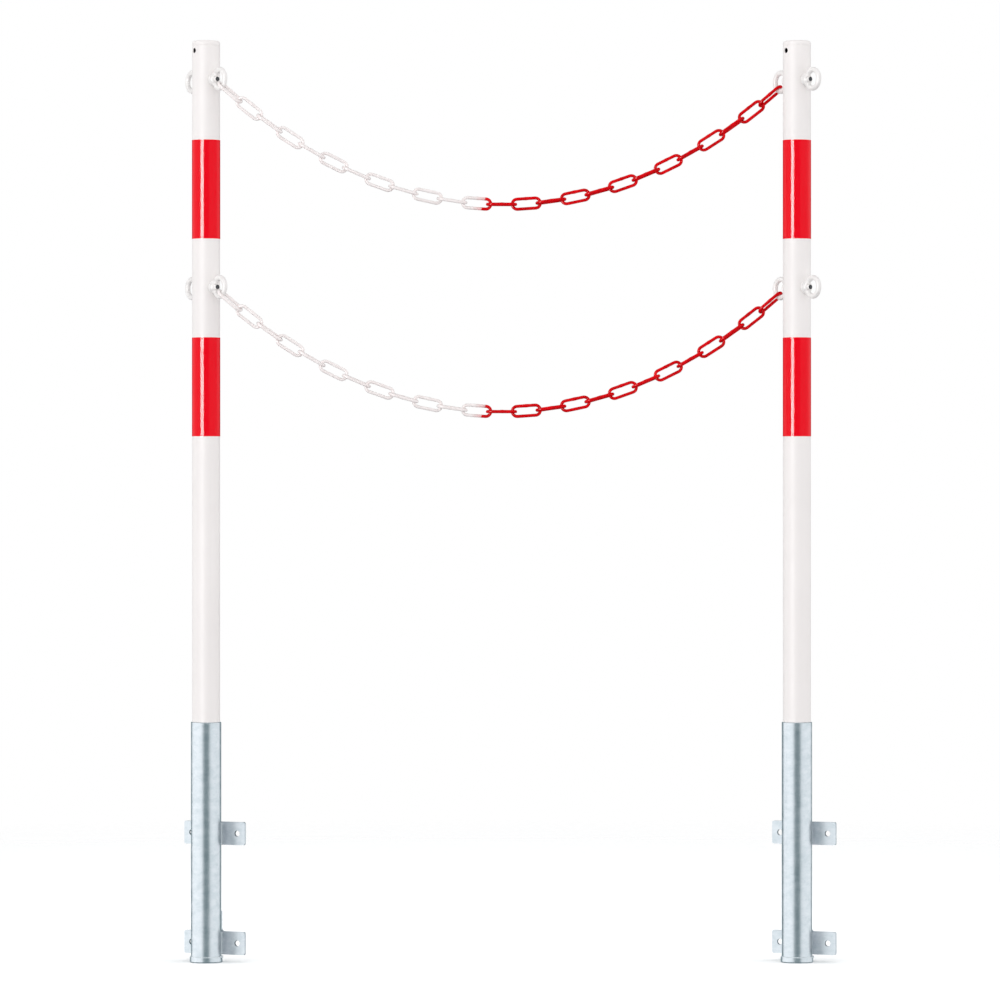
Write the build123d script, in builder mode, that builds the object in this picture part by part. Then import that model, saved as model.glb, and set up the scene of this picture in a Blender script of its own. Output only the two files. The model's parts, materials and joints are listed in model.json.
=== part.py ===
"""Chain barrier set: two lift-out steel posts in ground sleeves, with two chains hung between them.

Millimetres, +Z up. The origin is at ground level, midway between the posts, where the sleeves end.
+X runs from the left post to the right post, and -Y is the front.
"""

from build123d import *
import os
from math import atan, cos, radians, sin

# Layout of the set
post_spacing = 898.0
post_top = 1035.0
sleeve_depth = 365.0
eye_heights = {"upper": 975.0, "lower": 660.0}
band_tops = {"upper": 884.0, "lower": 584.0}
eye_heading = -55.0  # degrees from +X to the direction of the front eyes

# Post tube and its end cap
post_diameter = 42.4
post_wall = 2.5
cap_height = 7.5
cap_edge_radius = 4.0
cap_roof = 2.0
cap_rim = 4.5
cap_spigot = 3.0
cap_play = 0.1
cap_seam = 0.4  # bevel on each side of the joint between the tube and its cap
vent_diameter = 8.0
vent_drop = 15.5  # below the top of the post

# Reflective bands
band_width = 150.0
band_film = 0.3
band_seat = 0.02

# M8 eye nuts and the threaded stud that holds a pair of them
eye_hole = 20.0
eye_rod = 8.0
eye_reach = 18.0  # from the seat of the nut to the centre of its ring
neck_diameter = 20.0
neck_edge = 0.8
neck_land = 4.0
neck_waist = 13.0
neck_blend = 4.5
stud_diameter = 8.0
stud_play = 0.05
stud_hole = 8.6
stud_stand = 5.3  # past the inner edge of the ring's hole
stud_chamfer = 0.9

# Ground sleeve
sleeve_play = 0.3
sleeve_wall = 1.5
sleeve_lip = 1.2
base_diameter = 49.4
base_floor = 3.0
base_rim = 8.0
base_edge_radius = 2.0
base_play = 0.05
drain_diameter = 12.0

# Anchor plates on the back of the sleeve
plate_heading = 65.0  # degrees from +X to the direction that the plates face, away from the tube
plate_length = 104.0
plate_height = 35.0
plate_thickness = 4.0
plate_shift = 2.0
plate_play = 0.02
plate_corner = 3.0
plate_hole = 9.0
plate_hole_spacing = 78.0
plate_levels = {"upper": 195.0, "lower": 28.0}  # above the bottom of the sleeve
tongue_width = 27.0
tongue_rise = 31.0
tongue_corner = 5.0

# Chain
link_count = 25
link_rod = 4.8
link_width = 15.4  # between the middles of the two legs
link_pitch = 37.9
link_play = 0.3
hook_angle = 55.6  # degrees below level at which the end link bears on the ring
link_twists = [25, 18, 11, 8, 6, 6, 6, 6, 6, 6, 5, 3, 0]  # degrees, from the end link to the middle one

# Worked out
post_radius = post_diameter / 2
tube_bore = post_radius - post_wall
sleeve_bottom = -sleeve_depth
post_foot = sleeve_bottom + base_floor
tube_top = post_top - cap_height
ring_radius = (eye_hole + eye_rod) / 2
eye_offset = post_radius + eye_reach
stud_length = 2 * (eye_offset - eye_hole / 2 + stud_stand)
sleeve_bore = post_radius + sleeve_play
sleeve_radius = sleeve_bore + sleeve_wall
link_inner = link_pitch + link_play
post_places = {"left": -post_spacing / 2, "right": post_spacing / 2}


def heading(angle):
    """Level unit vector at an angle from +X."""
    return Vector(cos(radians(angle)), sin(radians(angle)), 0)


def upright_plane(origin, direction):
    """Plane with its X along a level direction and its Y up."""
    return Plane(origin=origin, x_dir=direction, z_dir=direction.cross(Vector(0, 0, 1)))


def across_plane(origin, direction):
    """Plane square to a level direction."""
    return Plane(origin=origin, x_dir=(0, 0, 1), z_dir=direction)


def make_post_tube(x):
    with BuildPart() as tube:
        with BuildSketch(Plane((x, 0, post_foot))):
            Circle(post_radius)
            Circle(tube_bore, mode=Mode.SUBTRACT)
        extrude(amount=tube_top - post_foot)
        chamfer(tube.edges().group_by(Axis.Z)[-1].sort_by(SortBy.RADIUS)[-1], cap_seam)
        for height in eye_heights.values():
            with BuildSketch(across_plane((x, 0, height), heading(eye_heading))):
                Circle(stud_hole / 2)
            extrude(amount=post_diameter, both=True, mode=Mode.SUBTRACT)
        with BuildSketch(across_plane((x, 0, post_top - vent_drop), heading(eye_heading - 90))):
            Circle(vent_diameter / 2)
        extrude(amount=post_diameter, mode=Mode.SUBTRACT)
    return tube.part


def make_post_cap(x):
    """Round-edged end cap, hollow below, with a short spigot inside the tube."""
    with BuildPart() as cap:
        with BuildSketch(Plane((x, 0, tube_top))):
            Circle(post_radius)
        extrude(amount=cap_height)
        fillet(cap.edges().group_by(Axis.Z)[-1], cap_edge_radius)
        chamfer(cap.edges().group_by(Axis.Z)[0], cap_seam)
        with BuildSketch(Plane((x, 0, tube_top - cap_spigot))):
            Circle(tube_bore - cap_play)
        extrude(amount=cap_spigot)
        with BuildSketch(Plane((x, 0, tube_top - cap_spigot))):
            Circle(post_radius - cap_rim)
        extrude(amount=cap_spigot + cap_height - cap_roof, mode=Mode.SUBTRACT)
    return cap.part


def make_band(x, top):
    """Reflective film wrapped round the tube."""
    with BuildPart() as band:
        with BuildSketch(Plane((x, 0, top - band_width))):
            Circle(post_radius + band_seat + band_film)
            Circle(post_radius + band_seat, mode=Mode.SUBTRACT)
        extrude(amount=band_width)
    return band.part


def make_stud(x, height):
    """Threaded stud across the post, standing a little way into both rings."""
    with BuildPart(across_plane((x, 0, height), heading(eye_heading))) as stud:
        Cylinder(stud_diameter / 2, stud_length)
        chamfer(stud.edges(), stud_chamfer)
    return stud.part


def make_eye_nut(x, height, direction):
    """Eye nut seated on the post: a collar that narrows into a round ring, bored for the stud."""
    centre = Vector(x, 0, height) + direction * eye_offset
    ring_plane = upright_plane(centre, direction)
    waist_start = neck_land - eye_reach
    waist_end = waist_start + neck_blend
    with BuildPart(ring_plane) as eye:
        with BuildSketch(ring_plane):
            with BuildLine():
                foot = Line((0, 0), (-eye_reach, 0))
                seat = Line(foot @ 1, (-eye_reach, neck_diameter / 2 - neck_edge))
                edge = Line(seat @ 1, (-eye_reach + neck_edge, neck_diameter / 2))
                land = Line(edge @ 1, (waist_start, neck_diameter / 2))
                blend = TangentArc(land @ 1, (waist_end, neck_waist / 2), tangent=(0, -1))
                waist = Line(blend @ 1, (0, neck_waist / 2))
                Line(waist @ 1, foot @ 0)
            make_face()
        revolve(axis=Axis(centre, direction))
        Cylinder(eye_hole / 2, neck_diameter, mode=Mode.SUBTRACT)
        with Locations((ring_radius, 0)):
            Box(2 * ring_radius, neck_diameter, neck_diameter, mode=Mode.SUBTRACT)
        Torus(ring_radius, eye_rod / 2)
        with BuildSketch(across_plane(centre - direction * eye_offset, direction)):
            Circle(stud_diameter / 2 + stud_play)
        extrude(amount=eye_offset, mode=Mode.SUBTRACT)
    return eye.part


def make_sleeve_tube(x):
    with BuildPart() as sleeve:
        with BuildSketch(Plane((x, 0, post_foot))):
            Circle(sleeve_radius)
            Circle(sleeve_bore, mode=Mode.SUBTRACT)
        extrude(amount=-post_foot)
        rim = sleeve.edges().filter_by(GeomType.CIRCLE).group_by(Axis.Z)[-1].sort_by(SortBy.RADIUS)
        fillet(rim[-1], sleeve_lip)
    return sleeve.part


def make_sleeve_base(x):
    """Shallow cup that closes the bottom of the sleeve, with a drain hole."""
    with BuildPart() as base:
        with BuildSketch(Plane((x, 0, sleeve_bottom))):
            Circle(base_diameter / 2)
        extrude(amount=base_rim)
        fillet(base.edges().group_by(Axis.Z)[0], base_edge_radius)
        with BuildSketch(Plane((x, 0, post_foot))):
            Circle(sleeve_radius + base_play)
        extrude(amount=base_rim, mode=Mode.SUBTRACT)
        with BuildSketch(Plane((x, 0, sleeve_bottom))):
            Circle(drain_diameter / 2)
        extrude(amount=base_floor, mode=Mode.SUBTRACT)
    return base.part


def make_anchor_plate(x, level, with_tongue):
    """Flat bar with two holes on the back of the sleeve; the lower one has a tongue up the tube."""
    away = heading(plate_heading)
    back = sleeve_radius + plate_play + plate_thickness
    face = upright_plane(Vector(x, 0, sleeve_bottom + level) + away * back, heading(plate_heading - 90))
    with BuildPart() as plate:
        with BuildSketch(face) as outline:
            with Locations((plate_shift, 0)):
                Rectangle(plate_length, plate_height)
            fillet(outline.vertices(), plate_corner)
            if with_tongue:
                with Locations((0, tongue_rise / 2)):
                    Rectangle(tongue_width, plate_height + tongue_rise)
                shoulders = outline.vertices().group_by(Axis.Y)[-2]
                fillet(shoulders.sort_by_distance((0, 0))[:2], tongue_corner)
        extrude(amount=plate_thickness)
        with BuildSketch(face):
            with Locations((plate_shift, 0)):
                with GridLocations(plate_hole_spacing, 0, 2, 1):
                    Circle(plate_hole / 2)
        extrude(amount=plate_thickness, mode=Mode.SUBTRACT)
    return plate.part


def make_link():
    """One closed link of round bar, its length along X and its width along Y."""
    half_leg = (link_inner + link_rod - link_width) / 2
    with BuildPart() as link:
        with BuildLine() as path:
            leg = Line((-half_leg, link_width / 2), (half_leg, link_width / 2))
            bow = ThreePointArc(leg @ 1, (half_leg + link_width / 2, 0), (half_leg, -link_width / 2))
            other_leg = Line(bow @ 1, (-half_leg, -link_width / 2))
            ThreePointArc(other_leg @ 1, (-half_leg - link_width / 2, 0), leg @ 0)
        with BuildSketch(Plane(origin=leg @ 0, z_dir=leg % 0)):
            Circle(link_rod / 2)
        sweep(path=path.wire())
    return link.part


def hook_point(side, height):
    """Point on the middle line of the ring's bar where the end link of the chain bears."""
    outward = heading(eye_heading) if side == "left" else -heading(eye_heading)
    reach = eye_offset + ring_radius * cos(radians(hook_angle))
    drop = ring_radius * sin(radians(hook_angle))
    return Vector(post_places[side], 0, height - drop) + outward * reach


def link_slopes(chord):
    """Slope of each link, in radians, of a chain that hangs from two eyes this far apart.

    Each link carries the weight of those between it and the middle one, so the tangent of its
    slope grows by the same step from link to link. The step is found by halving an interval.
    """
    middle = (link_count - 1) / 2
    low, high = 0.0, 1.0
    for _ in range(50):
        step = (low + high) / 2
        slopes = [atan(step * (number - middle)) for number in range(link_count)]
        span = link_pitch * sum(cos(slope) for slope in slopes) + link_play
        needed = chord + (eye_rod + 2 * link_play) * cos(slopes[0])
        low, high = (step, high) if span > needed else (low, step)
    return slopes


def link_planes(height):
    """Plane of every link of one chain, from left to right.

    The links are alternately flat across the chain and flat along it. The left half is laid link
    by link from its eye, and the right half is the left half turned half round about the Z axis.
    """
    start, end = hook_point("left", height), hook_point("right", height)
    along = (end - start).normalized()
    slopes = link_slopes((end - start).length)
    planes = []
    inner_end = None
    for number in range(link_count // 2 + 1):
        slope = slopes[number]
        length_dir = along * cos(slope) + Vector(0, 0, 1) * sin(slope)
        if inner_end is None:
            inner_end = start - length_dir * (eye_rod / 2 + link_play)
        level_dir = Vector(0, 0, 1).cross(along)
        flat_dir = length_dir.cross(level_dir)
        upright = flat_dir if number % 2 == 0 else level_dir
        normal = upright.rotate(Axis((0, 0, 0), length_dir), link_twists[number])
        centre = inner_end + length_dir * (link_inner / 2)
        planes.append(Plane(origin=centre, x_dir=length_dir, z_dir=normal))
        inner_end += length_dir * link_pitch
    turned = [
        Plane(
            origin=plane.origin.rotate(Axis.Z, 180),
            x_dir=plane.x_dir.rotate(Axis.Z, 180),
            z_dir=plane.z_dir.rotate(Axis.Z, 180),
        )
        for plane in reversed(planes[:-1])
    ]
    return planes + turned


def swing_axis(height):
    """Level line that a chain swings about, where its second links hang in its two end links."""
    planes = link_planes(height)
    reach = (link_inner - link_play) / 2
    left = planes[0].origin + planes[0].x_dir * reach
    right = planes[-1].origin + planes[-1].x_dir * reach
    return left, (right - left).normalized()


def place_links(planes):
    """A run of equal links, each a solid of its own."""
    link = make_link()
    with BuildPart() as links:
        with Locations(*planes):
            add(link)
    return links.part


def save(part, name):
    part.label = name
    export_step(part, f"parts/{name}.step")


os.makedirs("parts", exist_ok=True)

for side, x in post_places.items():
    save(make_post_tube(x), f"{side}_post_tube")
    save(make_post_cap(x), f"{side}_post_cap")
    save(make_sleeve_tube(x), f"{side}_sleeve_tube")
    save(make_sleeve_base(x), f"{side}_sleeve_base")
    for level, height in eye_heights.items():
        save(make_stud(x, height), f"{side}_{level}_stud")
        save(make_eye_nut(x, height, heading(eye_heading)), f"{side}_{level}_front_eye")
        save(make_eye_nut(x, height, -heading(eye_heading)), f"{side}_{level}_rear_eye")
        save(make_band(x, band_tops[level]), f"{side}_{level}_band")
        plate = make_anchor_plate(x, plate_levels[level], with_tongue=level == "lower")
        save(plate, f"{side}_{level}_anchor_plate")

two_tone = link_count // 2 - 1
for level, height in eye_heights.items():
    planes = link_planes(height)
    save(place_links(planes[:1]), f"{level}_chain_left_end_link")
    save(place_links(planes[1:two_tone]), f"{level}_chain_white_links")
    save(place_links(planes[two_tone : two_tone + 1]), f"{level}_chain_two_tone_link")
    save(place_links(planes[two_tone + 1 : -1]), f"{level}_chain_red_links")
    save(place_links(planes[-1:]), f"{level}_chain_right_end_link")
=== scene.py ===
"""Looks of the chain barrier set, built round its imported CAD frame. Metres, +Z up, -Y the front."""

import json
import math

import bmesh
import bpy
import numpy as np
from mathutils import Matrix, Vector

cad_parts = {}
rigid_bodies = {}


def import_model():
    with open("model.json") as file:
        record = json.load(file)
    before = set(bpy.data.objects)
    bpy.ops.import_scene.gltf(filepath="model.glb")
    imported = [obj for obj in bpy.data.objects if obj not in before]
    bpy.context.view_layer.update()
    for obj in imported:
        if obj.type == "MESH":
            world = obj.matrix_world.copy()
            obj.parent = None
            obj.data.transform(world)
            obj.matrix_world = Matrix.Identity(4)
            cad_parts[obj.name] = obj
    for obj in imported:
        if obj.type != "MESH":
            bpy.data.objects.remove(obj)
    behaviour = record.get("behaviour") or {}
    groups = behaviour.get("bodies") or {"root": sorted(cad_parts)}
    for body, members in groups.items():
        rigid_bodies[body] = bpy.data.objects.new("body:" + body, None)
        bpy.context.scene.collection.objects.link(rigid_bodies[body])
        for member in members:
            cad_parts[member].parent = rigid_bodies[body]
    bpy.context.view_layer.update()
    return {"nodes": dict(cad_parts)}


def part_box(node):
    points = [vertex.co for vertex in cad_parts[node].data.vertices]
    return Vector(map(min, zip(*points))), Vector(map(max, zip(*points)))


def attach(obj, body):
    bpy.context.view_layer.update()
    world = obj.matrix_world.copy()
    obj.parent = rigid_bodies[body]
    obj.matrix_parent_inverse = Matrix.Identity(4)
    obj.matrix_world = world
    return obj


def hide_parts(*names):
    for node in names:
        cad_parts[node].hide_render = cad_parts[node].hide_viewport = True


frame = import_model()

SIDES = ("left", "right")
LEVELS = ("upper", "lower")
MM = 0.001
UP = Vector((0, 0, 1))
nodes = frame["nodes"]

# Sizes read from the frame
tube_low, tube_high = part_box("left_post_tube")
sleeve_low, sleeve_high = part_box("left_sleeve_tube")
base_low, base_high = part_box("left_sleeve_base")
POST_RADIUS = (tube_high.x - tube_low.x) / 2
SLEEVE_RADIUS = (sleeve_high.x - sleeve_low.x) / 2
BASE_RIM = base_high.z
POST_X = -(tube_low.x + tube_high.x) / 2
FLOOR = base_low.z

# The anchor plates behind the sleeves
PLATE_HEADING = math.radians(65)  # the way a plate faces, from +X towards +Y
PLATE_HEIGHT = 35 * MM
PLATE_SHIFT = 2 * MM  # of a plate's middle along the plate, from the sleeve's axis
PLATE_LEVELS = [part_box(f"left_{level}_anchor_plate")[0].z + PLATE_HEIGHT / 2 for level in LEVELS]
PLATE_EDGE = 0.5 * MM  # rounding of its edges
HOLE_REACH = 39 * MM  # of a hole from the plate's middle
HOLE_RADIUS = 4.5 * MM
HOLE_MARGIN = 0.1 * MM  # round a hole, so that its wall is taken in


def axis_x(side):
    low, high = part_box(f"{side}_post_tube")
    return (low.x + high.x) / 2


# ---------------------------------------------------------------- node helpers


class Shader:
    """A Principled material with short calls for the nodes that feed it."""

    def __init__(self, name, **values):
        self.material = bpy.data.materials.new(name)
        self.material.use_nodes = True
        self.tree = self.material.node_tree
        self.tree.nodes.clear()
        self.out = self.tree.nodes.new("ShaderNodeOutputMaterial")
        self.surface = self.tree.nodes.new("ShaderNodeBsdfPrincipled")
        self.link(self.surface.outputs["BSDF"], self.out.inputs["Surface"])
        self.place = self.tree.nodes.new("ShaderNodeTexCoord").outputs["Object"]
        for socket, value in values.items():
            self.surface.inputs[socket.replace("_", " ")].default_value = value

    def link(self, a, b):
        self.tree.links.new(a, b)

    def feed(self, socket, output):
        self.link(output, self.surface.inputs[socket])

    def give(self, socket, value):
        """Sets a node's socket to a plain value, or links it to another node's output."""
        if isinstance(value, bpy.types.NodeSocket):
            self.link(value, socket)
        else:
            socket.default_value = value

    def scaled_place(self, scale):
        """Object coordinates, stretched by these factors before a texture reads them."""
        node = self.tree.nodes.new("ShaderNodeMapping")
        node.inputs["Scale"].default_value = scale
        self.link(self.place, node.inputs["Vector"])
        return node.outputs["Vector"]

    def noise(self, scale, detail=3.0, roughness=0.5, place=None):
        node = self.tree.nodes.new("ShaderNodeTexNoise")
        node.inputs["Scale"].default_value = scale
        node.inputs["Detail"].default_value = detail
        node.inputs["Roughness"].default_value = roughness
        self.link(place or self.place, node.inputs["Vector"])
        return node.outputs["Fac"]

    def cells(self, scale):
        node = self.tree.nodes.new("ShaderNodeTexVoronoi")
        node.inputs["Scale"].default_value = scale
        self.link(self.place, node.inputs["Vector"])
        return node.outputs["Color"]

    def remap(self, value, low, high, new_low, new_high):
        node = self.tree.nodes.new("ShaderNodeMapRange")
        ends = {"From Min": low, "From Max": high, "To Min": new_low, "To Max": new_high}
        for socket, number in ends.items():
            node.inputs[socket].default_value = number
        self.link(value, node.inputs["Value"])
        return node.outputs["Result"]

    def mix(self, factor, first, second):
        """A colour between two. The Mix node's sockets for these go by number."""
        node = self.tree.nodes.new("ShaderNodeMix")
        node.data_type = "RGBA"
        for socket, value in zip((node.inputs[0], node.inputs[6], node.inputs[7]), (factor, first, second)):
            self.give(socket, value)
        return node.outputs[2]

    def maths(self, operation, first, second=0.0):
        node = self.tree.nodes.new("ShaderNodeMath")
        node.operation = operation
        for socket, value in zip(node.inputs, (first, second)):
            self.give(socket, value)
        return node.outputs[0]

    def distance(self, first, second):
        """Distance from the origin of the point with these two coordinates."""
        squares = [self.maths("MULTIPLY", value, value) for value in (first, second)]
        return self.maths("SQRT", self.maths("ADD", *squares))

    def axis(self, name):
        """One of the object coordinates: X, Y or Z."""
        node = self.tree.nodes.new("ShaderNodeSeparateXYZ")
        self.link(self.place, node.inputs[0])
        return node.outputs[name]

    def bore(self, radius):
        """1 nearer to a post's axis than this radius, and 0 farther out."""
        beside = self.maths("SUBTRACT", self.maths("ABSOLUTE", self.axis("X")), POST_X)
        return self.maths("LESS_THAN", self.distance(beside, self.axis("Y")), radius)

    def plate_holes(self):
        """1 on the walls of the holes in the anchor plates, and 0 elsewhere."""
        x = self.axis("X")
        beside = self.maths("SUBTRACT", x, self.maths("MULTIPLY", self.maths("SIGN", x), POST_X))
        along = self.maths("SUBTRACT", self.maths("MULTIPLY", beside, math.sin(PLATE_HEADING)),
                           self.maths("MULTIPLY", self.axis("Y"), math.cos(PLATE_HEADING)))
        from_middle = self.maths("ABSOLUTE", self.maths("SUBTRACT", along, PLATE_SHIFT))
        heights = [self.maths("SUBTRACT", self.axis("Z"), level) for level in PLATE_LEVELS]
        from_level = self.maths("MINIMUM", *[self.maths("ABSOLUTE", height) for height in heights])
        from_hole = self.distance(self.maths("SUBTRACT", from_middle, HOLE_REACH), from_level)
        return self.maths("LESS_THAN", from_hole, HOLE_RADIUS + HOLE_MARGIN)

    def grey(self, colour):
        """The red channel of a colour, as a number."""
        node = self.tree.nodes.new("ShaderNodeSeparateColor")
        self.link(colour, node.inputs[0])
        return node.outputs[0]

    def attribute(self, name):
        """A number that each of the mesh's points carries."""
        node = self.tree.nodes.new("ShaderNodeAttribute")
        node.attribute_name = name
        return node.outputs["Fac"]

    def bump(self, height, depth, strength):
        """Relief of this depth in metres, on top of any relief so far."""
        node = self.tree.nodes.new("ShaderNodeBump")
        node.inputs["Strength"].default_value = strength
        node.inputs["Distance"].default_value = depth
        self.link(height, node.inputs["Height"])
        previous = self.surface.inputs["Normal"].links
        if previous:
            self.link(previous[0].from_socket, node.inputs["Normal"])
        self.feed("Normal", node.outputs["Normal"])


def rgb(red, green, blue):
    return (red, green, blue, 1.0)


# ---------------------------------------------------------------- materials


BORE_DEPTH = 1.2 * MM  # about midway through a post tube's wall; deeper than this the tube is painted near-black, as painted shade inside it


def powder_white(name, hollow):
    """Warm white powder coating with a faint orange peel, scuffed in the sleeve, and near-black inside a
    hollow tube, which is painted shade.
    """
    s = Shader(name, Specular_IOR_Level=0.06)
    tone = s.remap(s.noise(9.0), 0.3, 0.7, 0.0, 1.0)
    clean = s.mix(tone, rgb(0.845, 0.812, 0.798), rgb(0.870, 0.838, 0.824))
    streaks = s.remap(s.noise(60.0, 4.0, 0.6, s.scaled_place((9.0, 9.0, 0.35))), 0.60, 0.68, 0.0, 0.55)
    in_sleeve = s.remap(s.axis("Z"), -4 * MM, 0.0, 1.0, 0.0)
    outside = s.mix(s.maths("MULTIPLY", streaks, in_sleeve), clean, rgb(0.36, 0.37, 0.38))
    if hollow:
        # Painted shade: the inside of the tube is coloured near-black
        outside = s.mix(s.bore(POST_RADIUS - BORE_DEPTH), outside, rgb(0.05, 0.05, 0.055))
    s.feed("Base Color", outside)
    s.feed("Roughness", s.remap(s.noise(40.0), 0.3, 0.7, 0.42, 0.50))
    s.bump(s.noise(1100.0, 2.0), 0.06 * MM, 0.6)
    return s.material


def forged_white():
    """The same coating over a forged eye nut or a stud: thicker, softer and a little uneven."""
    s = Shader("forged_white", Roughness=0.45, Specular_IOR_Level=0.18)
    tone = s.remap(s.noise(70.0), 0.3, 0.7, 0.0, 1.0)
    s.feed("Base Color", s.mix(tone, rgb(0.800, 0.780, 0.765), rgb(0.855, 0.835, 0.820)))
    s.bump(s.noise(260.0, 3.0), 0.12 * MM, 0.7)
    s.bump(s.noise(1300.0, 2.0), 0.04 * MM, 0.6)
    return s.material


def red_film():
    """Glossy retroreflective film: a clear face over fine beads."""
    s = Shader("red_film", Roughness=0.07, Specular_IOR_Level=0.12)
    beads = s.grey(s.cells(4200.0))
    s.feed("Base Color", s.mix(beads, rgb(0.78, 0.0010, 0.0080), rgb(0.88, 0.0030, 0.0160)))
    return s.material


def zinc():
    """Hot-dip galvanised steel: bluish, with faint spangle and slightly uneven flow, and painted shade on
    the walls of the plate holes.
    """
    s = Shader("zinc", Metallic=0.85)
    crystals = s.grey(s.cells(95.0))
    tint = s.mix(crystals, rgb(0.605, 0.640, 0.675), rgb(0.665, 0.695, 0.730))
    clouds = s.remap(s.noise(75.0, 5.0, 0.65, s.scaled_place((0.8, 0.8, 1.4))), 0.36, 0.64, 0.0, 1.0)
    surface = s.mix(clouds, tint, rgb(0.770, 0.780, 0.815))
    # Painted shade: the walls of the anchor plates' holes are coloured dark grey
    s.feed("Base Color", s.mix(s.plate_holes(), surface, rgb(0.20, 0.22, 0.24)))
    s.feed("Roughness", s.remap(clouds, 0.0, 1.0, 0.31, 0.37))
    s.bump(s.noise(75.0, 3.0), 0.04 * MM, 0.5)
    return s.material


def weld_zinc():
    """Zinc over a weld: less metallic than on the sheet and tube, and coloured paler as a painted highlight
    along the welds.
    """
    s = Shader("weld_zinc", Metallic=0.5, Roughness=0.35)
    tone = s.remap(s.noise(500.0), 0.3, 0.7, 0.0, 1.0)
    # Painted highlight: the pale colour stands in for the bright line along each weld
    s.feed("Base Color", s.mix(tone, rgb(0.80, 0.84, 0.87), rgb(0.90, 0.93, 0.95)))
    s.bump(s.noise(900.0, 3.0), 0.1 * MM, 0.6)
    return s.material


def dark_steel():
    """Near-black metal for the ends of the studs."""
    s = Shader("dark_steel", Metallic=0.9, Roughness=0.42)
    tone = s.remap(s.noise(900.0), 0.3, 0.7, 0.0, 1.0)
    s.feed("Base Color", s.mix(tone, rgb(0.035, 0.035, 0.04), rgb(0.10, 0.10, 0.105)))
    return s.material


# Each paint's darker and lighter shade
WHITE_PAINT = (rgb(0.83, 0.765, 0.750), rgb(0.90, 0.850, 0.840))
RED_PAINT = (rgb(0.52, 0.0008, 0.0030), rgb(0.78, 0.0015, 0.0060))


def chain_paint(name, shades, roughness, gloss):
    """Thick dipped paint on a chain link."""
    s = Shader(name, Roughness=roughness, Specular_IOR_Level=gloss)
    tone = s.remap(s.noise(120.0), 0.3, 0.7, 0.0, 1.0)
    s.feed("Base Color", s.mix(tone, *shades))
    s.bump(s.noise(120.0, 1.0), 0.02 * MM, 0.4)
    return s.material


RED_START = 9.6 * MM  # along the two-tone link, from its middle
RED_EDGE = 0.4 * MM  # half the width of the edge between the colours
OVERSPRAY = 15 * MM  # how far the faint red reaches onto the white


def two_tone_paint():
    """Red sprayed over one end of a white link, with a slanting edge and a faint overspray beyond it."""
    s = Shader("two_tone_paint", Roughness=0.3, Specular_IOR_Level=0.08)
    along = s.attribute("along")
    ragged = s.maths("ADD", along, s.remap(s.noise(700.0), 0.3, 0.7, -0.5 * MM, 0.5 * MM))
    covered = s.remap(ragged, RED_START - RED_EDGE, RED_START + RED_EDGE, 0.0, 1.0)
    sprayed = s.maths("MAXIMUM", covered, s.remap(along, RED_START - OVERSPRAY, RED_START, 0.0, 0.42))
    tone = s.remap(s.noise(120.0), 0.3, 0.7, 0.0, 1.0)
    s.feed("Base Color", s.mix(sprayed, s.mix(tone, *WHITE_PAINT), s.mix(tone, *RED_PAINT)))
    s.bump(s.noise(220.0, 2.0), 0.02 * MM, 0.5)
    return s.material


FLOOR_FADE = (1.2, 3.6)  # metres from the origin where the floor starts to fade and where it is gone


def floor_white():
    """Pale studio floor that fades out into the background."""
    s = Shader("floor_white", Roughness=0.6, Base_Color=rgb(0.93, 0.93, 0.93))
    distance = s.tree.nodes.new("ShaderNodeVectorMath")
    distance.operation = "LENGTH"
    s.link(s.place, distance.inputs[0])
    s.feed("Alpha", s.remap(distance.outputs["Value"], *FLOOR_FADE, 1.0, 0.0))
    return s.material


# ---------------------------------------------------------------- mesh helpers


def make_object(name, verts, faces, material):
    """A smooth-shaded object with this mesh."""
    mesh = bpy.data.meshes.new(name)
    mesh.from_pydata([tuple(v) for v in verts], [], faces)
    mesh.materials.append(material)
    mesh.polygons.foreach_set("use_smooth", [True] * len(mesh.polygons))
    mesh.update()
    piece = bpy.data.objects.new(name, mesh)
    bpy.context.scene.collection.objects.link(piece)
    return piece


def grid_faces(rows, columns, close_rows=False):
    """Quads between rings of points numbered ring by ring, each row a ring."""
    faces = []
    for i in range(rows if close_rows else rows - 1):
        for j in range(columns):
            a, b = i * columns + j, i * columns + (j + 1) % columns
            c, d = ((i + 1) % rows) * columns + (j + 1) % columns, ((i + 1) % rows) * columns + j
            faces.append((a, b, c, d))
    return faces


def cap_faces(rows, columns):
    """End faces of an open tube of rings."""
    first = tuple(reversed(range(columns)))
    last = tuple((rows - 1) * columns + j for j in range(columns))
    return [first, last]


def islands(node):
    """The separate solids of a CAD node, each as an array of its triangles' corners."""
    work = bmesh.new()
    work.from_mesh(nodes[node].data)
    bmesh.ops.remove_doubles(work, verts=work.verts, dist=1e-6)
    bmesh.ops.triangulate(work, faces=work.faces)
    work.verts.index_update()
    seen, found = set(), []
    for start in work.verts:
        if start.index in seen:
            continue
        stack, members = [start], set()
        while stack:
            vert = stack.pop()
            if vert.index in members:
                continue
            members.add(vert.index)
            stack.extend(edge.other_vert(vert) for edge in vert.link_edges)
        seen |= members
        found.append(members)
    owner = {index: number for number, members in enumerate(found) for index in members}
    corners = [[] for _ in found]
    for face in work.faces:
        corners[owner[face.verts[0].index]].append([tuple(v.co) for v in face.verts])
    work.free()
    return [np.array(triangles) for triangles in corners]


def link_frame(triangles):
    """Middle, length, width and flat directions of one link, from the spread of its surface."""
    a, b, c = triangles[:, 0], triangles[:, 1], triangles[:, 2]
    areas = np.linalg.norm(np.cross(b - a, c - a), axis=1) / 2
    centres = (a + b + c) / 3
    middle = (centres * areas[:, None]).sum(0) / areas.sum()
    offsets = centres - middle
    spread = (offsets * areas[:, None]).T @ offsets
    _, directions = np.linalg.eigh(spread)
    length, width = directions[:, 2], directions[:, 1]
    if length[0] < 0:
        length = -length
    if width[2] < 0:
        width = -width
    return middle, length, width, np.cross(length, width)


# ---------------------------------------------------------------- chain links

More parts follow.
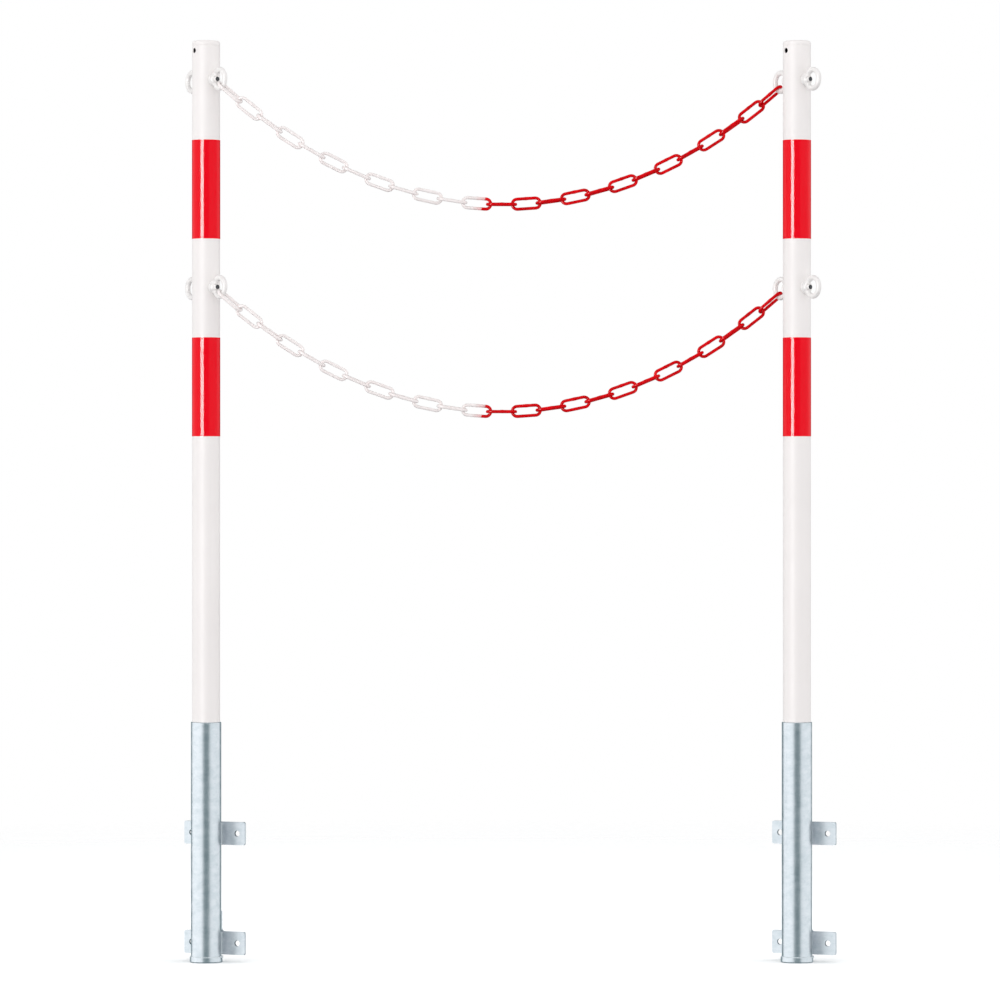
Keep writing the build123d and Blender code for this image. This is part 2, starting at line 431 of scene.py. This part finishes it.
LINK_ROD = 4.8 * MM
LINK_WIDTH = 15.4 * MM
LINK_LENGTH = 47.8 * MM
BOW_STEPS = 18
LEG_STEPS = 12
ROD_SIDES = 20
SPRAY_SLANT = 0.3  # how far the edge between the colours leans across a link
BUTT_WELD = 2.6 * MM  # how far the swelling at the weld spreads along a leg
BUTT_SWELL = 0.13  # of the bar's radius
BUTT_RIPPLE = 0.07  # of the swelling
BUTT_RIPPLE_LENGTH = 0.7 * MM  # to one radian of the ripple
# Waves in the paint along and across a link: share of the radius, and length to one radian
PAINT_WAVES = ((0.010, 4 * MM), (0.008, 3 * MM))
PAINT_OVAL = 0.006  # of the radius


def link_line():
    """Middle line of a link's bar and the way it runs at each point, from one end of a leg."""
    bow = LINK_WIDTH / 2
    half = (LINK_LENGTH - LINK_ROD) / 2 - bow
    points, tangents = [], []
    for end in (1, -1):
        for k in range(LEG_STEPS):
            points.append((end * half * (2 * k / LEG_STEPS - 1), end * bow))
            tangents.append((end, 0.0))
        for k in range(BOW_STEPS):
            turn = math.pi / 2 - math.pi * k / BOW_STEPS
            points.append((end * (half + bow * math.cos(turn)), end * bow * math.sin(turn)))
            tangents.append((end * math.sin(turn), -end * math.cos(turn)))
    return np.array(points), np.array(tangents)


def link_mesh(seed):
    """One closed link: round bar, a weld swelling on one leg, and slightly uneven paint."""
    points, tangents = link_line()
    draw = np.random.default_rng(seed)
    phase = draw.uniform(0, 2 * math.pi, 3)
    (wave_x, length_x), (wave_y, length_y) = PAINT_WAVES
    verts = []
    for (x, y), (tx, ty) in zip(points, tangents):
        outward = np.array([-ty, tx, 0.0])
        weld = math.exp(-((x / BUTT_WELD) ** 2)) if y > 0 else 0.0
        uneven = 1 + BUTT_RIPPLE * weld * math.cos(x / BUTT_RIPPLE_LENGTH)
        radius = LINK_ROD / 2 * (1 + BUTT_SWELL * weld * uneven)
        radius *= 1 + wave_x * math.sin(x / length_x + phase[0]) + wave_y * math.sin(y / length_y + phase[1])
        for k in range(ROD_SIDES):
            turn = 2 * math.pi * k / ROD_SIDES
            swell = 1 + PAINT_OVAL * math.sin(2 * turn + phase[2])
            offset = outward * math.cos(turn) + np.array([0, 0, 1.0]) * math.sin(turn)
            verts.append(np.array([x, y, 0]) + offset * radius * swell)
    return np.array(verts), grid_faces(len(points), ROD_SIDES, close_rows=True)


def build_links(node, body, material, seed):
    """Detailed links in the places of a CAD node's links."""
    all_verts, all_faces, along = [], [], []
    for number, triangles in enumerate(islands(node)):
        middle, length, width, flat = link_frame(triangles)
        verts, faces = link_mesh(seed + number)
        start = len(all_verts)
        all_verts.extend(middle + verts @ np.stack([length, width, flat]))
        all_faces.extend(tuple(i + start for i in face) for face in faces)
        along.extend(verts[:, 0] - SPRAY_SLANT * verts[:, 1])
    piece = make_object(f"{node}.painted", all_verts, all_faces, material)
    attribute = piece.data.attributes.new("along", "FLOAT", "POINT")
    attribute.data.foreach_set("value", np.array(along, np.float32))
    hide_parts(node)
    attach(piece, body)


# ---------------------------------------------------------------- threaded studs

THREAD_PITCH = 1.25 * MM
THREAD_DEPTH = 0.45 * MM
THREAD_SIDES = 28
THREAD_ROWS = 4  # rows of points to one turn
STUD_BEVEL = 0.6 * MM
STUD_END = 3.5 * MM  # radius of the dark end
# Outline of a dark end from its edge to its middle: how far short of the stud's end it lies, and its radius
STUD_END_OUTLINE = ((0.1 * MM, STUD_END), (-0.05 * MM, STUD_END - 0.3 * MM), (-0.05 * MM, 0.2 * MM))


def build_stud(side, level):
    """Threaded stud: a helical groove under the coating, and near-black ends."""
    node = f"{side}_{level}_stud"
    low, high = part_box(node)
    centre = (low + high) / 2
    radius = (high.z - low.z) / 2
    eye_low, eye_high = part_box(f"{side}_{level}_front_eye")
    direction = ((eye_low + eye_high) / 2 - centre) * Vector((1, 1, 0))
    direction.normalize()
    across = UP.cross(direction)
    reach = max((v.co - centre).dot(direction) for v in nodes[node].data.vertices)
    rows = int(2 * reach / THREAD_PITCH * THREAD_ROWS) + 1

    def ring(along, groove, most):
        """Points round the stud, with a thread groove this deep and no point farther out than most."""
        points = []
        for k in range(THREAD_SIDES):
            turn = 2 * math.pi * k / THREAD_SIDES
            phase = (along / THREAD_PITCH - turn / (2 * math.pi)) % 1.0
            r = min(radius - groove * (1 - abs(2 * phase - 1)), most)
            up = Vector((0, 0, r * math.sin(turn)))
            points.append(centre + direction * along + across * (r * math.cos(turn)) + up)
        return points

    verts = []
    for i in range(rows):
        along = -reach + 2 * reach * i / (rows - 1)
        verts += ring(along, THREAD_DEPTH, reach - abs(along) + radius - STUD_BEVEL)
    shank = make_object(f"{node}.threaded", verts, grid_faces(rows, THREAD_SIDES), forged)
    verts, faces = [], []
    for end in (-1, 1):
        start = len(verts)
        for back, most in STUD_END_OUTLINE:
            verts += ring(end * (reach - back), 0.0, most)
        rings = grid_faces(len(STUD_END_OUTLINE), THREAD_SIDES)
        faces += [tuple(i + start for i in face) for face in rings]
    ends = make_object(f"{node}.ends", verts, faces, black)
    for piece in (shank, ends):
        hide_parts(node)
        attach(piece, f"{side}_post")


# ---------------------------------------------------------------- eye nuts

FORGED_VOXEL = 0.55 * MM
FORGED_SMOOTHING = 6  # passes
FORGED_EASING = 0.5  # how far each pass moves a point towards its neighbours


def build_eye(side, level, place):
    """Forged eye nut: the CAD shape with its edges and inner corners softened."""
    node = f"{side}_{level}_{place}_eye"
    piece = bpy.data.objects.new(f"{node}.forged", nodes[node].data.copy())
    bpy.context.scene.collection.objects.link(piece)
    remesh = piece.modifiers.new("remesh", "REMESH")
    remesh.mode = "VOXEL"
    remesh.voxel_size = FORGED_VOXEL
    remesh.use_smooth_shade = True
    smooth = piece.modifiers.new("smooth", "SMOOTH")
    smooth.iterations = FORGED_SMOOTHING
    smooth.factor = FORGED_EASING
    mesh = bpy.data.meshes.new_from_object(piece.evaluated_get(bpy.context.evaluated_depsgraph_get()))
    piece.modifiers.clear()
    piece.data = mesh
    mesh.materials.clear()
    mesh.materials.append(forged)
    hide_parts(node)
    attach(piece, f"{side}_post")


# ---------------------------------------------------------------- welds

BEAD_STEP = 0.35 * MM
BEAD_SIDES = 10
BEAD_RIPPLE = 1.9 * MM  # from one ripple to the next
BEAD_LEAD = 0.9 * MM  # how far a ripple's crown runs ahead of its sides
BEAD_LOW = 0.86  # size between two ripples, as a share of the size at a ripple
BEAD_WAVE = 0.05  # share of the size by which a run grows and shrinks along its way
BEAD_WAVE_LENGTH = 5.3 * MM  # to one radian of that wave
WELD_MARGIN = 1 * MM  # from the edges of a plate
WELD_BITE = 0.2 * MM  # how deep a weld reaches into the metal
WELD_ON_TUBE = (41, 34, 26, 18, 10)  # degrees round the tube from the side that faces the plate
WELD_ON_PLATE = (4.5 * MM, 10 * MM, 16.2 * MM)  # along the plate from the sleeve's axis, out to the toe
WELD_SWELL = 0.55 * MM  # of a fillet's face between two ripples
WELD_RIPPLE = 0.35 * MM  # more of it at a ripple
WELD_END = 0.25  # share of the swelling that is left at a fillet's very end
WELD_RUN_OUT = 8  # steps that a fillet's whole swelling would take to die away
WELD_FACE_STEPS = 6
TONGUE_WELD = 7.5 * MM  # from a tongue's middle
TONGUE_WELD_DEPTH = 1 * MM  # of a tongue's bead from the plate's near face, towards the tube
TONGUE_WELD_SIZE = 1.6 * MM
# Runs round the base cup: name, distance from the tube, first and last heading in degrees, and size
BASE_WELDS = (("ring", 0.4 * MM, 0.0, 360.0, 1.1 * MM), ("lump", 1.2 * MM, -24.0, 22.0, 1.9 * MM))


def ripple(travelled):
    """Height of a weld's ripples after this much of its run, from 0 to 1."""
    return abs(math.sin(math.pi * travelled / BEAD_RIPPLE)) ** 0.6


def weld_bead(name, points, sideways, outward, radius, closed=False):
    """Bead of weld along a line: a round run with overlapping ripples, half sunk in the metal."""
    verts = []
    for number, (point, side_dir, out_dir) in enumerate(zip(points, sideways, outward)):
        travelled = number * BEAD_STEP
        for k in range(BEAD_SIDES):
            turn = 2 * math.pi * k / BEAD_SIDES
            height = ripple(travelled - BEAD_LEAD * (1 - abs(math.cos(turn))))
            size = radius * (BEAD_LOW + (1 - BEAD_LOW) * height)
            size *= 1 + BEAD_WAVE * math.sin(travelled / BEAD_WAVE_LENGTH)
            verts.append(point + side_dir * (size * math.cos(turn)) + out_dir * (size * math.sin(turn)))
    faces = grid_faces(len(points), BEAD_SIDES, close_rows=closed)
    if not closed:
        faces += cap_faces(len(points), BEAD_SIDES)
    piece = make_object(name, verts, faces, weld_material)
    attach(piece, "ground_sleeves")


def plate_directions():
    """Level directions out of the back of a sleeve, square to its plates, and along them."""
    return (Vector((math.cos(PLATE_HEADING), math.sin(PLATE_HEADING), 0)),
            Vector((math.sin(PLATE_HEADING), -math.cos(PLATE_HEADING), 0)))


def fillet_section(face, sign, swell):
    """Cross-section of the weld in the wedge between tube and plate, as (along the plate, away) pairs."""
    tube = SLEEVE_RADIUS - WELD_BITE
    turns = [math.radians(angle) for angle in WELD_ON_TUBE]
    points = [(tube * math.sin(turn), tube * math.cos(turn)) for turn in turns]
    points += [(x, face + WELD_BITE) for x in WELD_ON_PLATE]
    (x0, y0), (x1, y1) = points[-1], points[0]
    chord = math.hypot(x1 - x0, y1 - y0)
    for k in range(1, WELD_FACE_STEPS):
        t = k / WELD_FACE_STEPS
        bulge = swell * math.sin(math.pi * t)
        x = x0 + (x1 - x0) * t + bulge * (y0 - y1) / chord
        y = y0 + (y1 - y0) * t - bulge * (x0 - x1) / chord
        points.append((x, y))
    return [(sign * x, y) for x, y in points]


def weld_plate(side, level):
    """Two upright fillet welds between the tube and a plate, and two beads up the plate's tongue if any."""
    node = f"{side}_{level}_anchor_plate"
    low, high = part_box(node)
    axis = Vector((axis_x(side), 0, 0))
    away, tangent = plate_directions()
    face = min((v.co - axis).dot(away) for v in nodes[node].data.vertices)
    steps = int((PLATE_HEIGHT - 2 * WELD_MARGIN) / BEAD_STEP)
    for number, sign in enumerate((-1, 1)):
        verts = []
        for i in range(steps):
            travelled = i * BEAD_STEP
            end = min(1.0, WELD_END + min(i, steps - 1 - i) / WELD_RUN_OUT)
            swell = (WELD_SWELL + WELD_RIPPLE * ripple(travelled)) * end
            for x, y in fillet_section(face, sign, swell):
                verts.append(axis + tangent * x + away * y + UP * (low.z + WELD_MARGIN + travelled))
        columns = len(verts) // steps
        faces = grid_faces(steps, columns) + cap_faces(steps, columns)
        weld = make_object(f"{node}.weld_{number}", verts, faces, weld_material)
        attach(weld, "ground_sleeves")
        start = low.z + PLATE_HEIGHT
        count = int((high.z - WELD_MARGIN - start) / BEAD_STEP)
        if count > 0:
            foot = axis + away * (face - TONGUE_WELD_DEPTH) + tangent * (sign * TONGUE_WELD)
            points = [foot + UP * (start + i * BEAD_STEP) for i in range(count)]
            name = f"{node}.tongue_weld_{number}"
            weld_bead(name, points, [tangent] * count, [away] * count, TONGUE_WELD_SIZE)


def weld_base(side):
    """Ring of weld between the base cup and the tube, with a heavier run by the lower plate."""
    centre = Vector((axis_x(side), 0, BASE_RIM))
    for name, gap, first, last, size in BASE_WELDS:
        radius = SLEEVE_RADIUS + gap
        closed = last - first == 360
        steps = int(math.radians(last - first) * radius / BEAD_STEP)
        stretches = steps if closed else steps - 1
        turns = [math.radians(first + (last - first) * i / stretches) for i in range(steps)]
        outward = [Vector((math.cos(turn), math.sin(turn), 0)) for turn in turns]
        points = [centre + direction * radius for direction in outward]
        weld_bead(f"{side}_base.weld_{name}", points, outward, [UP] * steps, size, closed=closed)


# ---------------------------------------------------------------- the object

white = powder_white("powder_white", hollow=True)
cap_white = powder_white("cap_white", hollow=False)
film = red_film()
galvanised = zinc()
forged = forged_white()
black = dark_steel()
weld_material = weld_zinc()
white_links = chain_paint("white_chain_paint", WHITE_PAINT, roughness=0.36, gloss=0.14)
red_links = chain_paint("red_chain_paint", RED_PAINT, roughness=0.26, gloss=0.06)
both_links = two_tone_paint()


def dress(node, material):
    """Gives a kept CAD node its material."""
    mesh = nodes[node].data
    mesh.materials.clear()
    mesh.materials.append(material)


def soften(node, width):
    """Rounds the sharp edges of a kept CAD node."""
    bevel = nodes[node].modifiers.new("soft_edges", "BEVEL")
    bevel.width = width
    bevel.segments = 2
    bevel.limit_method = "ANGLE"
    bevel.angle_limit = math.radians(50)
    bevel.harden_normals = True


for side in SIDES:
    dress(f"{side}_post_tube", white)
    dress(f"{side}_post_cap", cap_white)
    dress(f"{side}_sleeve_tube", galvanised)
    dress(f"{side}_sleeve_base", galvanised)
    weld_base(side)
    for level in LEVELS:
        dress(f"{side}_{level}_band", film)
        dress(f"{side}_{level}_anchor_plate", galvanised)
        soften(f"{side}_{level}_anchor_plate", PLATE_EDGE)
        weld_plate(side, level)
        build_stud(side, level)
        build_eye(side, level, "front")
        build_eye(side, level, "rear")

for number, level in enumerate(LEVELS):
    body = f"{level}_chain"
    runs = (
        ("left_end_link", "left_post", white_links, "white_chain_coating"),
        ("white_links", body, white_links, "white_chain_coating"),
        ("two_tone_link", body, both_links, "white_chain_coating"),
        ("red_links", body, red_links, "red_chain_coating"),
        ("right_end_link", "right_post", red_links, "red_chain_coating"),
    )
    for place, (run, rides_on, paint, slot) in enumerate(runs):
        seed = 1000 * number + 100 * place  # each link adds its own number to it
        build_links(f"{body}_{run}", rides_on, paint, seed)

# ---------------------------------------------------------------- floor, light and camera

FLOOR_REACH = 8
corners = [(x * FLOOR_REACH, y * FLOOR_REACH, FLOOR) for x, y in ((-1, -1), (1, -1), (1, 1), (-1, 1))]
floor = make_object("floor", corners, [(0, 1, 2, 3)], floor_white())
for rays in ("diffuse", "glossy", "shadow"):
    setattr(floor, f"visible_{rays}", False)


def around(angle, distance, height):
    """A place round the object: the angle is from straight in front, positive to the right."""
    return (distance * math.sin(math.radians(angle)), -distance * math.cos(math.radians(angle)), height)


def softbox(name, place, width, height, radiance, target=(0.0, 0.0, 0.3)):
    """Flat panel light facing a target, with its brightness given as radiance."""
    data = bpy.data.lights.new(name, "AREA")
    data.shape = "RECTANGLE"
    data.size, data.size_y = width, height
    data.energy = radiance * math.pi * width * height
    lamp = bpy.data.objects.new(name, data)
    lamp.location = place
    lamp.rotation_euler = (Vector(target) - Vector(place)).to_track_quat("-Z", "Y").to_euler()
    lamp.visible_camera = False
    bpy.context.scene.collection.objects.link(lamp)
    return lamp


softbox("wide_left", around(-75, 6.4, 0.4), width=16.8, height=10.0, radiance=1.15)
softbox("wide_right", around(79, 6.4, 0.4), width=16.8, height=10.0, radiance=0.96)
softbox("top", (0.0, -0.6, 4.4), width=3.4, height=3.4, radiance=1.4)
front = softbox("front", around(1, 4.6, 0.8), width=4.0, height=3.0, radiance=1.66)
front.visible_glossy = False
strip = softbox("strip", around(-34.5, 4.2, 0.5), width=1.9, height=4.0, radiance=58.0)
strip.visible_diffuse = False

# The strip is kept off the galvanised ground sleeves, and one panel lights the floor alone
coated = bpy.data.collections.new("coated")
for piece in bpy.context.scene.objects:
    on_sleeve = any(word in piece.name for word in ("sleeve", "plate", "base"))
    if piece.type == "MESH" and piece is not floor and not on_sleeve:
        coated.objects.link(piece)
strip.light_linking.receiver_collection = coated
ground = bpy.data.collections.new("ground")
ground.objects.link(floor)
above = softbox("above", (0.0, 1.5, 3.6), width=9.0, height=9.0, radiance=1.0, target=(0.0, 1.5, 0.0))
above.light_linking.receiver_collection = ground

world = bpy.data.worlds.new("studio")
bpy.context.scene.world = world
world.cycles.sampling_method = "NONE"
world.use_nodes = True
tree = world.node_tree
tree.nodes.clear()
ray_kind = tree.nodes.new("ShaderNodeLightPath")


def background(red, green, blue):
    node = tree.nodes.new("ShaderNodeBackground")
    node.inputs["Color"].default_value = rgb(red, green, blue)
    return node.outputs[0]


def choose(rays, otherwise, chosen):
    """One background for rays of this kind, and another for the rest."""
    node = tree.nodes.new("ShaderNodeMixShader")
    tree.links.new(ray_kind.outputs[rays], node.inputs[0])
    tree.links.new(otherwise, node.inputs[1])
    tree.links.new(chosen, node.inputs[2])
    return node.outputs[0]


# Pale all round as fill, dark where glossy surfaces mirror it, and white behind the object
surroundings = choose("Is Glossy Ray", background(0.30, 0.30, 0.31), background(0.048, 0.132, 0.150))
surroundings = choose("Is Camera Ray", surroundings, background(1.0, 1.0, 1.0))
tree.links.new(surroundings, tree.nodes.new("ShaderNodeOutputWorld").inputs["Surface"])

CAMERA_DISTANCE = 8.0
CAMERA_X = -0.0023
CAMERA_HEIGHT = 0.3373
VIEW_WIDTH = 1.52  # metres across the picture at the object
SENSOR_WIDTH = 36.0
camera_data = bpy.data.cameras.new("camera")
camera_data.sensor_width = SENSOR_WIDTH
camera_data.lens = SENSOR_WIDTH * CAMERA_DISTANCE / VIEW_WIDTH
camera = bpy.data.objects.new("camera", camera_data)
camera.location = (CAMERA_X, -CAMERA_DISTANCE, CAMERA_HEIGHT)
camera.rotation_euler = (math.radians(90), 0, 0)
bpy.context.scene.collection.objects.link(camera)
bpy.context.scene.camera = camera
bpy.context.scene.view_settings.view_transform = "Standard"
